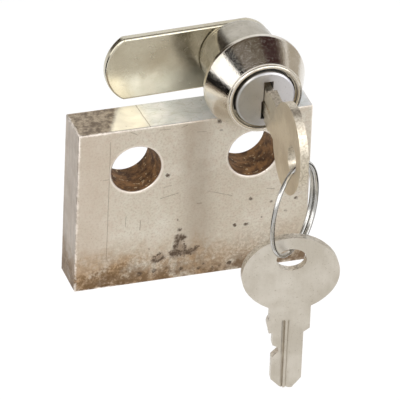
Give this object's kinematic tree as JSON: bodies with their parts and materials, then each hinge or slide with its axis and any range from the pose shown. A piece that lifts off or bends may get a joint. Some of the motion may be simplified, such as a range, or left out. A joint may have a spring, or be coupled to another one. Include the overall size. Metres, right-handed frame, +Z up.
{
  "type": "enclosure lock",
  "caption": "Short cam lock with a conical plated head and a flat cam, standing on a drilled steel block, with its key in place and a spare key on a split ring.",
  "frame": {"origin": "midway between the two bolt holes, on the back face of the block", "axes": "+X to the right along the line of bolt holes, +Y to the back along the bolt holes and the lock's axis, +Z up"},
  "size_m": [0.0508, 0.0505, 0.0693],
  "materials": {
    "block_steel": "bare bar steel with scratches, pits and rust along the lower edge",
    "cap_chrome": "bright plated cap",
    "zinc_casting": "plated die casting",
    "plug_zinc": "satin die casting",
    "plated_steel": "plated steel",
    "cam_nickel": "bright nickel plate with a warm tint",
    "wafer_brass": "stamped brass",
    "spring_steel": "drawn wire",
    "key_nickel": "satin nickel-plated brass",
    "ring_steel": "bright drawn wire"
  },
  "bodies": {
    "block": {"block": "block_steel"},
    "lock_body": {"head_cap": "cap_chrome", "barrel": "zinc_casting"},
    "plug_set": {"plug": "plug_zinc", "stop_washer": "plated_steel", "cam": "cam_nickel", "lock_washer": "plated_steel", "cam_screw": "plated_steel", "wafer_spring_1": "spring_steel", "wafer_spring_2": "spring_steel", "wafer_spring_3": "spring_steel", "wafer_spring_4": "spring_steel", "wafer_spring_5": "spring_steel"},
    "wafers": {"wafer_1": "wafer_brass", "wafer_2": "wafer_brass", "wafer_3": "wafer_brass", "wafer_4": "wafer_brass", "wafer_5": "wafer_brass"},
    "key": {"key_in_lock": "key_nickel"},
    "ring": {"split_ring": "ring_steel"},
    "spare": {"spare_key": "key_nickel"}
  },
  "joints": [
    {"name": "lock_lift", "type": "slide", "parent": "block", "child": "lock_body", "axis": [0, 0, 1], "range_m": [0, 0.02]},
    {"name": "plug_turn", "type": "hinge", "parent": "lock_body", "child": "plug_set", "pos_m": [0.01185, 0, 0.01828], "axis": [0, 1, 0], "range_deg": [0, 90]},
    {"name": "key_slide", "type": "slide", "parent": "plug_set", "child": "key", "axis": [0, -0.9903, -0.1392], "range_m": [-0.00025, 0.0095]},
    {"name": "wafer_slide", "type": "slide", "parent": "plug_set", "child": "wafers", "axis": [0, 0, 1], "range_m": [-0.00003, 0.00078], "deforming": ["wafer_spring_1", "wafer_spring_2", "wafer_spring_3", "wafer_spring_4", "wafer_spring_5"]},
    {"name": "ring_swing", "type": "hinge", "parent": "key", "child": "ring", "pos_m": [0.01235, -0.03664, 0.01301], "axis": [0.6947, 0.7193, 0], "range_deg": [-20, 20]},
    {"name": "spare_key_swing", "type": "hinge", "parent": "ring", "child": "spare", "pos_m": [0.01235, -0.03664, -0.00681], "axis": [0.6947, 0.7193, 0], "range_deg": [-20, 20]}
  ],
  "couplings": [
    {"joint": "wafer_slide", "follows": "key_slide", "ratio": 0.0795}
  ]
}
